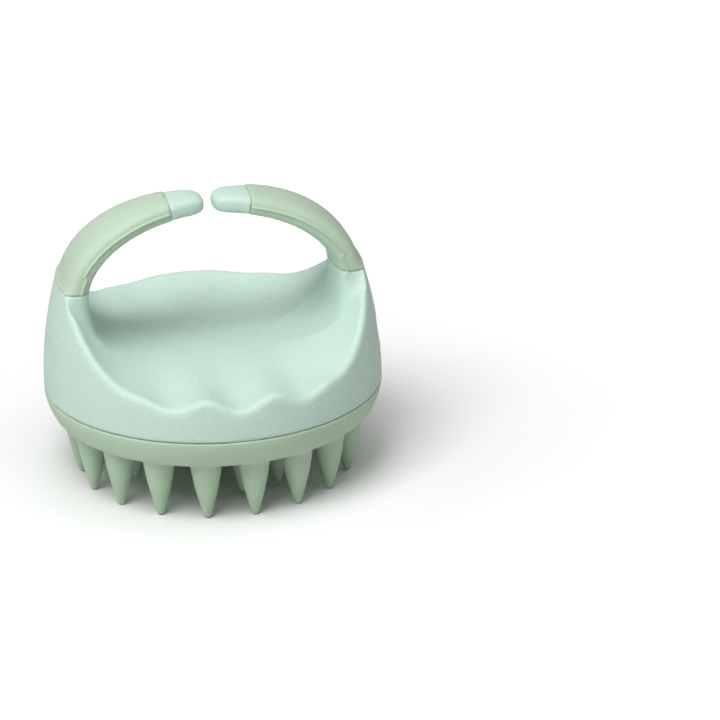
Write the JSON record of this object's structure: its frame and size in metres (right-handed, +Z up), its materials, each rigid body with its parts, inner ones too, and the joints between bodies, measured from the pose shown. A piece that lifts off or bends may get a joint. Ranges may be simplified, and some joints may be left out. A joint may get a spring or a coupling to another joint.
{
  "type": "scalp massager brush",
  "caption": "Round palm-held scalp massager brush: speckled housing with a dished palm rest, split ring handle with soft sleeves, and a pull-off soft head of tapered cones.",
  "frame": {"origin": "on the brush's axis, in the plane of the outer cones' tips that it stands on", "axes": "+Z up through the ring handle; X runs from arm to arm; -Y is the finger-groove side"},
  "size_m": [0.08, 0.08, 0.0684],
  "materials": {
    "shell": "satin moulded wheat-straw plastic, pale mint with fine tan fibre specks",
    "sleeve": "smooth matte over-moulded soft grip, sage green",
    "head": "smooth matte silicone, sage green",
    "plate": "plain moulded plastic, hidden",
    "seal": "matte seal rubber, hidden",
    "screw": "stainless steel, hidden"
  },
  "bodies": {
    "head": {"bristle_head": "head"},
    "handle": {"shell": "shell", "grip_sleeve_left": "sleeve", "grip_sleeve_right": "sleeve", "base_plate": "plate", "seal_ring": "seal", "base_screw_1": "screw", "base_screw_2": "screw", "base_screw_3": "screw", "base_screw_4": "screw"}
  },
  "joints": [
    {"name": "head_pull_off", "type": "slide", "parent": "head", "child": "handle", "axis": [0, 0, 1], "range_m": [0, 0.02]}
  ]
}
